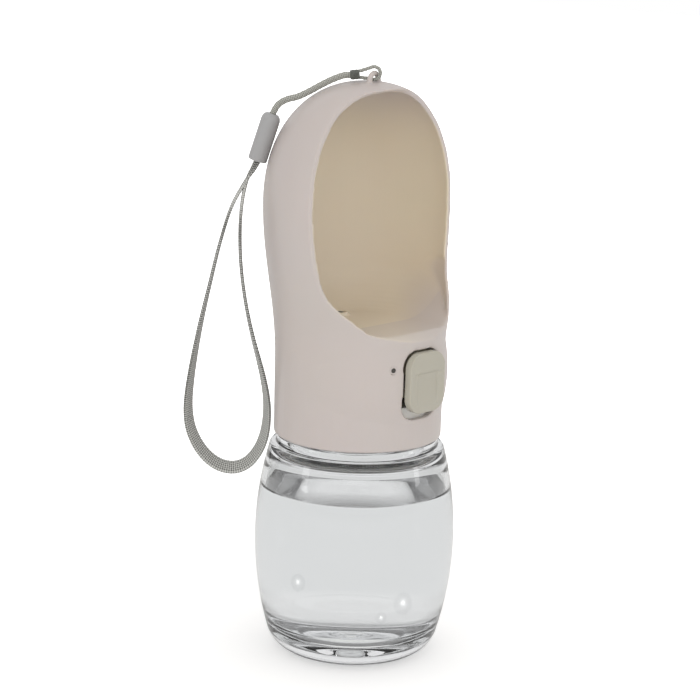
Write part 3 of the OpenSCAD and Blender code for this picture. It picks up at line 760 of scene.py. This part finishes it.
def make_trough(settings):
    shell = moulded("Trough plastic", settings.shell_color, 0.36, 0.12, 0.12,
                    inside=settings.painted_bowl_light_color)
    mouth, channel = mouth_tool(), channel_tool()
    trough = carve(carve(copied("trough_shell", "drinking_trough"), mouth), channel)
    joined(trough, carve(carve(hood(), mouth), channel))
    dropped(channel)
    dropped(mouth)
    joined(trough, outlet_collar())
    rounded(trough, TROUGH_VOXEL, settings.edge_rounds)
    at = vertices(trough)
    lip = (step_up(-at[:, 1], 17, 25) * step_up(at[:, 2], 118.5, 122.5)
           * (1 - step_up(at[:, 2], 133, 140)))
    soften_where(trough, lip, 30)
    at = vertices(trough)
    share = painted_bowl_light_share(trough, at)
    at[:, 0] *= 1 + WIDER * step_up(at[:, 2], 124, 140) * step_up(-at[:, 1], -22, 4)
    move_vertices(trough, at)
    # the inside attribute carries the painted bowl light, a lighter, warmer tint for light
    # bounced inside the bowl
    mark = trough.data.attributes.new("inside", "FLOAT", "POINT")
    mark.data.foreach_set("value", share.astype("f"))
    paint(trough, shell)
    trough.data.shade_smooth()
    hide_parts("drinking_trough")
    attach(trough, "head")
    make_button(settings)
    make_mark(shell)


def make_button(settings):
    plastic = moulded("Button plastic", settings.button_color, 0.34, 0.12, 0.1)
    button = rounded(copied("push_button", "button"), BUTTON_VOXEL, settings.edge_rounds + 2)
    at = vertices(button)
    low, high = at.min(0), at.max(0)
    side = at[:, 0] / high[0]
    up = 2 * (at[:, 2] - low[2]) / (high[2] - low[2]) - 1
    front = 1 - step_up(at[:, 1], low[1] + 0.8, low[1] + 2.6)
    slant = 0.3 * np.clip((up - 0.34) / 0.66, 0, 1)
    dish = (0.55 * np.clip(1 - side ** 4, 0, 1) * step_up(0.36 - up, 0, 0.09)
            * (1 - step_up(0.36 - up, 0.1, 1.1)))
    at[:, 1] += front * (slant + dish)
    move_vertices(button, at)
    paint(button, plastic)
    button.data.shade_smooth()
    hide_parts("button")
    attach(button, "button")


def make_mark(shell):
    """Lock mark beside the button, a dark dot in a raised ring, and a dark disc of painted shade
    in the outlet's collar, where its bore lies in shade.
    """
    dark = moulded("Dark mark and painted shade", (0.05, 0.047, 0.042), 0.5)
    place = (Matrix.Rotation(MARK_TURN, 4, "Z")
             @ Matrix.Translation((0, -MARK_OUT * MM, MARK_Z * MM))
             @ Matrix.Rotation(math.pi / 2, 4, "X"))
    ring = [(0, -2.2), (1.35, -2.2), (1.35, 0.0), (1.22, 0.14), (1.05, 0.16), (0.92, 0.08),
            (0.86, -0.3), (0, -0.3)]
    dot = [(0, -0.6), (0.88, -0.6), (0.88, -0.1), (0.74, -0.02), (0, 0.03)]
    # painted shade: a dark disc inside the outlet's collar that stands in for the shade down its
    # bore
    painted_bore_shade = [(0, 0.2), (1.9, 0.2), (1.9, 0.95), (0, 1.0)]
    floor = Matrix.Translation((0, OUTLET_Y * MM, FLOOR_Z * MM))
    for name, outline, mat, where in (("lock_mark_ring", ring, shell, place),
                                      ("lock_mark", dot, dark, place),
                                      ("outlet_painted_shade", painted_bore_shade, dark, floor)):
        piece = lathe(name, outline, mat, 40)
        piece.data.transform(where)
        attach(piece, "head")


# ---- strap ----

def make_cords(settings):
    yarn = fabric("Cord yarn", settings.cord_color, (0.13, 0.13, 0.12), 2600, 1.25, STRANDS)
    strap_yarn = fabric("Strap yarn", settings.strap_color, (0.06, 0.06, 0.055), 2600, 1.6)
    bind = fabric("Binding thread", (0.16, 0.17, 0.15), (0.02, 0.02, 0.02), 900)

    # round cord, braided: twelve strands cross over and under each other
    flat, far = smooth_path(CORD_ROUTE, 0.16)
    line = in_plane(flat)

    def round_braid(i):
        out = []
        for a in circle(72):
            u, v = STRANDS * a / 2 + far[i] * PLAIT, STRANDS * a / 2 - far[i] * PLAIT
            high = max(abs(math.sin(u)) * (0.72 + 0.28 * math.cos(v * 2)),
                       abs(math.sin(v)) * (0.72 - 0.28 * math.cos(u * 2)))
            r = CORD_R - 0.17 + 0.2 * high
            out.append((r * math.cos(a), r * math.sin(a)))
        return out

    cord = sweep("lanyard_cord_braided", line, round_braid, yarn)
    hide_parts("lanyard_cord")
    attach(cord, "head")

    # flat strap: a herringbone of yarns on both faces, turned as it hangs
    flat, far = smooth_path(STRAP_ROUTE, 0.3)
    line = in_plane(flat)
    whole = far[-1]

    def flat_weave(i):
        u = far[i] / whole
        half = 0.5 * (STRAP_END_W + STRAP_SPREAD * min(1, 7 * min(u, 1 - u)))
        turn = STRAP_TURN * math.sin(math.pi * u) ** 4
        out = []
        for a in circle(56):
            c, s = math.cos(a), math.sin(a)
            x = half * math.copysign(abs(c) ** 0.45, c)
            y = STRAP_HALF_T * math.copysign(abs(s) ** 0.6, s)
            rib = math.sin(far[i] * 4.2 - 3.4 * abs(x) * (1 if s > 0 else -1))
            rib2 = 0.5 + 0.5 * math.cos(x * 5.5)
            y *= 1 + 0.13 * rib * (0.5 + 0.5 * rib2)
            x += 0.06 * math.copysign(1, c) * math.sin(far[i] * 4.2) * abs(c) ** 6
            out.append((x * math.cos(turn) - y * math.sin(turn),
                        x * math.sin(turn) + y * math.cos(turn)))
        return out

    strap = sweep("wrist_strap_woven", line, flat_weave, strap_yarn)
    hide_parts("wrist_strap")
    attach(strap, "head")

    # thin loop through the lug, its two strands drawn together at the whipping
    start = math.atan2(LOOP_PINCH, LOOP_RUN) + math.acos(
        LOOP_HALF / math.hypot(LOOP_RUN, LOOP_PINCH))
    arc = [(LOOP_HALF * math.cos(a), LOOP_HALF * math.sin(a))
           for a in np.linspace(start, 2 * math.pi - start, 60)]
    way = [(LOOP_RUN, LOOP_PINCH)] + arc + [(LOOP_RUN, -LOOP_PINCH)]
    ends, far = smooth_path(way, 0.14)
    c, s = math.cos(LOOP_DIP), math.sin(LOOP_DIP)
    tilted = [(a * c + b * s, LUG_BAR_Z - a * s + b * c) for a, b in ends]

    def thin(i):
        out = []
        for a in circle(24):
            r = LOOP_CORD_R + 0.06 * math.sin(3 * a + far[i] * 4)
            out.append((r * math.cos(a), r * math.sin(a)))
        return out

    loop = sweep("lug_loop_cord", in_plane(tilted), thin, yarn)
    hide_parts("lug_loop")
    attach(loop, "head")

    # whipping: a wound thread, one rounded turn beside the next
    steps = [(LOOP_RUN + WHIP_L * k / 90) for k in range(91)]
    whip_line = in_plane([(a * c, LUG_BAR_Z - a * s) for a in steps])

    def wound(i):
        out = []
        for k, a in enumerate(circle(48)):
            wave = abs(math.sin(math.pi * (steps[i] / 0.55 + k / 48)))
            r = (WHIP_R - 0.2 + 0.2 * wave) * (1 - 0.14 * abs(2 * i / 90 - 1) ** 6)
            out.append((r * math.cos(a), r * math.sin(a)))
        return out

    whip = sweep("cord_whipping_wound", whip_line, wound, bind)
    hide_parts("cord_whipping")
    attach(whip, "head")

    bead = moulded("Bead plastic", settings.bead_color, 0.3, 0.05)
    paint("strap_bead", bead)
    soften("strap_bead", BEAD_VOXEL, 5)


# ---- inner pieces ----

def make_spring(name, node, body, mat):
    """A copy of a spring's CAD node, painted and attached to its body, with a mesh of its own."""
    coil = copied(name, node)
    at = vertices(coil)
    paint(coil, mat)
    coil.data.shade_smooth()
    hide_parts(node)
    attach(coil, body)
    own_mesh(coil)


def make_inside():
    cream = moulded("Inner plastic", (0.80, 0.78, 0.74), 0.42, 0.08, 0.1)
    soft = moulded("Silicone", (0.70, 0.70, 0.66), 0.5, 0.05, 0.25)
    black = moulded("Black rubber", (0.02, 0.02, 0.022), 0.6, 0.1)
    steel = metal("Steel", (0.62, 0.63, 0.65))
    # partly the slider's own beige and partly painted shade: darker to stand for the shade in the
    # slider's recess; the valve body takes the same colour
    slider_beige_and_shade = moulded("Slider plastic and painted shade", (0.40, 0.35, 0.26), 0.42, 0.08, 0.1)
    for node in ("lock_slider", "valve_body"):
        paint(node, slider_beige_and_shade)
    for node in ("neck_cap", "chamber_cap"):
        paint(node, cream)
    for node in ("neck_gasket", "valve_disc", "outlet_seal"):
        paint(node, soft)
    for node in ("inlet_seal", "rod_seal", "chamber_seal"):
        paint(node, black)
    for node in ("seal_washer", "valve_rod", "disc_clip"):
        paint(node, steel)
    make_spring("button_coil", "button_spring", "lock",
                steel)
    make_spring("valve_coil", "valve_spring", "head",
                steel)


# ---- stage ----

def make_camera():
    data = bpy.data.cameras.new("Camera")
    data.lens = LENS
    data.sensor_width = SENSOR
    data.shift_x, data.shift_y = SHIFT[0] / PICTURE_W, SHIFT[1] / PICTURE_W
    data.clip_start = 0.01
    cam = bpy.data.objects.new("Camera", data)
    place = Vector(CAMERA_AT)
    look = (Vector(CAMERA_LOOK) - place).to_track_quat("-Z", "Y").to_matrix().to_4x4()
    cam.matrix_world = (Matrix.Translation(place) @ look
                        @ Matrix.Rotation(math.radians(CAMERA_ROLL), 4, "Z"))
    bpy.context.scene.collection.objects.link(cam)
    bpy.context.scene.camera = cam


def area(name, place, size, watts, color=(1, 1, 1), mirrored=False):
    data = bpy.data.lights.new(name, "AREA")
    data.shape = "RECTANGLE"
    data.size, data.size_y = size
    data.energy = watts
    data.color = color
    lamp = bpy.data.objects.new(name, data)
    lamp.location = place
    lamp.visible_glossy = mirrored
    lamp.visible_transmission = mirrored
    aim = Vector(LAMP_AIM) - Vector(place)
    lamp.rotation_euler = aim.to_track_quat("-Z", "Y").to_euler()
    bpy.context.scene.collection.objects.link(lamp)


def ramp(t, stops, at):
    """A colour ramp through stops of (position, red, green, blue)."""
    node = t.add("ShaderNodeValToRGB", at)
    marks = node.color_ramp.elements
    for mark, (place, *color) in ((marks[0], stops[0]), (marks[1], stops[-1])):
        mark.position, mark.color = place, (*color, 1)
    for place, *color in stops[1:-1]:
        marks.new(place).color = (*color, 1)
    return node


def make_world(settings):
    """White to the camera, soft light on what is lit, greys for what mirrors or is clear."""
    world = bpy.data.worlds.new("Studio")
    bpy.context.scene.world = world
    world.use_nodes = True
    world.node_tree.nodes.clear()
    t = Tree(world.node_tree)
    path = t.add("ShaderNodeLightPath", (-900, 300))
    pos = t.add("ShaderNodeTexCoord", (-1100, -100))
    dot = t.add("ShaderNodeVectorMath", (-900, -100), operation="DOT_PRODUCT")
    dot.inputs[1].default_value = STUDIO_AXIS
    t.link(pos.outputs["Generated"], dot.inputs[0])
    greys = ramp(t, STUDIO_GREYS, (-500, -100))
    half = t.math("MULTIPLY", dot.outputs["Value"], 0.5, (-700, -300))
    t.link(t.math("ADD", half, 0.5, (-600, -300)), greys.inputs[0])
    out = t.add("ShaderNodeOutputWorld", (500, 100))

    def background(color, strength, at):
        node = t.add("ShaderNodeBackground", at)
        if isinstance(color, tuple):
            node.inputs["Color"].default_value = color
        else:
            t.link(color, node.inputs["Color"])
        node.inputs["Strength"].default_value = strength
        return node.outputs[0]

    def choose(flag, no, yes, at):
        node = t.add("ShaderNodeMixShader", at)
        t.link(flag, node.inputs[0])
        t.link(no, node.inputs[1])
        t.link(yes, node.inputs[2])
        return node.outputs[0]

    studio = background(greys.outputs[0], 1.0, (-200, -100))
    soft = background((1, 0.985, 0.965, 1), settings.fill_light, (-200, 50))
    white = background((1, 1, 1, 1), 1.0, (-200, 200))
    lit = choose(path.outputs["Is Diffuse Ray"], studio, soft, (50, 0))
    t.link(choose(path.outputs["Is Camera Ray"], lit, white, (250, 100)), out.inputs["Surface"])


def make_floor():
    """Floor that takes the object's shadow, turns white further out, and has painted shadow and
    light of its own for rays that come through the bottle."""
    floor, tree = material("Floor")
    f = Tree(tree)
    path = f.add("ShaderNodeLightPath", (-800, 300))
    spot = f.add("ShaderNodeTexCoord", (-1000, -200))
    away = f.add("ShaderNodeVectorMath", (-800, -200), operation="LENGTH")
    f.link(spot.outputs["Object"], away.inputs[0])
    diffuse = f.add("ShaderNodeBsdfDiffuse", (0, 0))
    diffuse.inputs["Color"].default_value = (0.92, 0.92, 0.92, 1)
    span = f.add("ShaderNodeMapRange", (-600, -200))
    for label, value in FLOOR_GLOW:
        span.inputs[label].default_value = value
    f.link(away.outputs["Value"], span.inputs["Value"])
    glow = f.add("ShaderNodeEmission", (0, -150))
    f.link(f.math("MULTIPLY", span.outputs[0], path.outputs["Is Camera Ray"], (-300, -200)),
           glow.inputs["Strength"])
    both = f.add("ShaderNodeAddShader", (200, 0))
    f.link(diffuse.outputs[0], both.inputs[0])
    f.link(glow.outputs[0], both.inputs[1])
    # painted shadow and light for rays through the bottle: a painted bright spot under the hollow
    # of its base, a ring of painted shadow round that, pale further out
    rings = ramp(f, FLOOR_PAINTED_SHADE, (-300, -450))
    f.link(f.math("MULTIPLY", away.outputs["Value"], 10, (-450, -450)), rings.inputs[0])
    painted_floor_shade = f.add("ShaderNodeEmission", (0, -400))
    f.link(rings.outputs[0], painted_floor_shade.inputs["Color"])
    pick = f.add("ShaderNodeMixShader", (400, 0))
    f.link(path.outputs["Is Transmission Ray"], pick.inputs[0])
    f.link(both.outputs[0], pick.inputs[1])
    f.link(painted_floor_shade.outputs[0], pick.inputs[2])
    end = f.add("ShaderNodeOutputMaterial", (600, 0))
    f.link(pick.outputs[0], end.inputs["Surface"])
    corners = [(x * GROUND_HALF, y * GROUND_HALF, GROUND_Z)
               for x, y in ((-1, -1), (1, -1), (1, 1), (-1, 1))]
    ground = mesh_object("floor", corners, [[0, 1, 2, 3]], floor, False)


def make_cards():
    """Small bright cards on the floor that only mirror rays see, brightest at their centres."""
    card, tree = material("Mirror card")
    c = Tree(tree)
    core = c.add("ShaderNodeAttribute", (-700, 0))
    core.attribute_name = "core"
    light = c.add("ShaderNodeEmission", (0, 0))
    fall = c.math("POWER", core.outputs["Fac"], CARD_FALL, (-500, 0))
    c.link(c.math("MULTIPLY", fall, CARD_GLOW, (-300, 0)), light.inputs["Strength"])
    c.link(light.outputs[0], c.add("ShaderNodeOutputMaterial", (200, 0)).inputs["Surface"])
    points, faces, glows = [], [], []
    for (x, y), r in CARDS:
        n = len(points)
        faces += [[n, n + 1 + k, n + 1 + (k + 1) % CARD_SIDES] for k in range(CARD_SIDES)]
        points.append((x, y, CARD_Z))
        points += [(x + r * math.cos(a), y + r * math.sin(a), CARD_Z) for a in circle(CARD_SIDES)]
        glows += [1.0] + [0.0] * CARD_SIDES
    cards = mesh_object("mirror_cards", points, faces, card, False)
    cards.data.attributes.new("core", "FLOAT", "POINT").data.foreach_set("value", glows)
    for ray in ("camera", "diffuse", "transmission", "shadow", "volume_scatter"):
        setattr(cards, f"visible_{ray}", False)


def make_stage(settings):
    bpy.context.scene.view_settings.view_transform = "Standard"
    make_world(settings)
    make_floor()
    for name, (place, size, watts, color) in LAMPS.items():
        area(name, place, size, watts * settings.key_light, color)
    for k, (place, size) in enumerate(SPARKS):
        area(f"Spark {k + 1}", place, (size, size), SPARK_POWER, mirrored=True)
    make_cards()


# ---- add-on ----

class BottleLooks(bpy.types.PropertyGroup):
    water_level: bpy.props.FloatProperty(
        name="Water level", description="Height of the water's surface", default=0.064,
        min=0.02, max=0.07, subtype="DISTANCE", unit="LENGTH")


class TroughLooks(bpy.types.PropertyGroup):
    shell_color: bpy.props.FloatVectorProperty(
        name="Shell colour", description="Colour of the trough's moulded plastic",
        default=(0.533, 0.482, 0.460), min=0, max=1, size=3, subtype="COLOR")
    # painted light: a lighter, warmer tint inside the bowl that stands in for light bounced there
    painted_bowl_light_color: bpy.props.FloatVectorProperty(
        name="Inside colour", description="Warmer tint inside the bowl",
        default=(0.69, 0.61, 0.485), min=0, max=1, size=3, subtype="COLOR")
    button_color: bpy.props.FloatVectorProperty(
        name="Button colour", description="Colour of the push button's plastic",
        default=(0.430, 0.407, 0.345), min=0, max=1, size=3, subtype="COLOR")
    edge_rounds: bpy.props.IntProperty(
        name="Edge softness", description="Rounds of smoothing on the moulded edges", default=7,
        min=0, max=30)


class StrapLooks(bpy.types.PropertyGroup):
    cord_color: bpy.props.FloatVectorProperty(
        name="Cord colour", description="Colour of the yarn in the round cord and the loop",
        default=(0.50, 0.505, 0.46), min=0, max=1, size=3, subtype="COLOR")
    strap_color: bpy.props.FloatVectorProperty(
        name="Strap colour", description="Colour of the yarn in the flat strap",
        default=(0.58, 0.585, 0.56), min=0, max=1, size=3, subtype="COLOR")
    bead_color: bpy.props.FloatVectorProperty(
        name="Bead colour", description="Colour of the bead's plastic",
        default=(0.36, 0.36, 0.365), min=0, max=1, size=3, subtype="COLOR")


class StageLooks(bpy.types.PropertyGroup):
    key_light: bpy.props.FloatProperty(
        name="Key light", description="Share of the lamps' power", default=1.0, min=0, max=4,
        subtype="FACTOR")
    fill_light: bpy.props.FloatProperty(
        name="Fill light", description="Strength of the soft light", default=0.82, min=0, max=4,
        subtype="FACTOR")


class BuildCords(bpy.types.Operator):
    """Build the loop, whipping, cord, bead and strap"""

    bl_idname = "bottle.build_cords"
    bl_label = "Build strap"

    def execute(self, context):
        make_cords(context.scene.strap_looks)
        return {"FINISHED"}


class BuildBottle(bpy.types.Operator):
    """Build the clear bottle, its thread and the water in it"""

    bl_idname = "bottle.build_bottle"
    bl_label = "Build bottle"

    def execute(self, context):
        make_bottle(context.scene.bottle_looks)
        return {"FINISHED"}


class BuildTrough(bpy.types.Operator):
    """Build the drinking trough's shell, its button and the lock mark"""

    bl_idname = "bottle.build_trough"
    bl_label = "Build trough"

    def execute(self, context):
        make_trough(context.scene.trough_looks)
        return {"FINISHED"}


class BuildInside(bpy.types.Operator):
    """Paint the valve and the seals, and build the springs"""

    bl_idname = "bottle.build_inside"
    bl_label = "Build inside"

    def execute(self, context):
        make_inside()
        return {"FINISHED"}


class BuildStage(bpy.types.Operator):
    """Set the camera, the lamps, the surroundings and the floor"""

    bl_idname = "bottle.build_stage"
    bl_label = "Build stage"

    def execute(self, context):
        make_camera()
        make_stage(context.scene.stage_looks)
        return {"FINISHED"}


class BottlePanel(bpy.types.Panel):
    bl_idname = "VIEW3D_PT_travel_bottle"
    bl_label = "Travel bottle"
    bl_space_type = "VIEW_3D"
    bl_region_type = "UI"
    bl_category = "Bottle"

    def draw(self, context):
        column = self.layout.column()
        scene = context.scene
        column.prop(scene.bottle_looks, "water_level")
        for name in ("shell_color", "painted_bowl_light_color", "button_color", "edge_rounds"):
            column.prop(scene.trough_looks, name)
        for name in ("cord_color", "strap_color", "bead_color"):
            column.prop(scene.strap_looks, name)
        for name in ("key_light", "fill_light"):
            column.prop(scene.stage_looks, name)
        for op in OPERATORS:
            column.operator(op.bl_idname)


OPERATORS = (BuildStage, BuildCords, BuildBottle, BuildTrough, BuildInside)
CLASSES = (BottleLooks, TroughLooks, StrapLooks, StageLooks, *OPERATORS, BottlePanel)


def register():
    for cls in CLASSES:
        bpy.utils.register_class(cls)
    bpy.types.Scene.bottle_looks = bpy.props.PointerProperty(type=BottleLooks)
    bpy.types.Scene.trough_looks = bpy.props.PointerProperty(type=TroughLooks)
    bpy.types.Scene.strap_looks = bpy.props.PointerProperty(type=StrapLooks)
    bpy.types.Scene.stage_looks = bpy.props.PointerProperty(type=StageLooks)


def unregister():
    del bpy.types.Scene.bottle_looks
    del bpy.types.Scene.trough_looks
    del bpy.types.Scene.strap_looks
    del bpy.types.Scene.stage_looks
    for cls in reversed(CLASSES):
        bpy.utils.unregister_class(cls)


def main():
    register()
    bpy.ops.bottle.build_stage()
    bpy.ops.bottle.build_cords()
    bpy.ops.bottle.build_bottle()
    bpy.ops.bottle.build_trough()
    bpy.ops.bottle.build_inside()


if __name__ == "__main__":
    main()
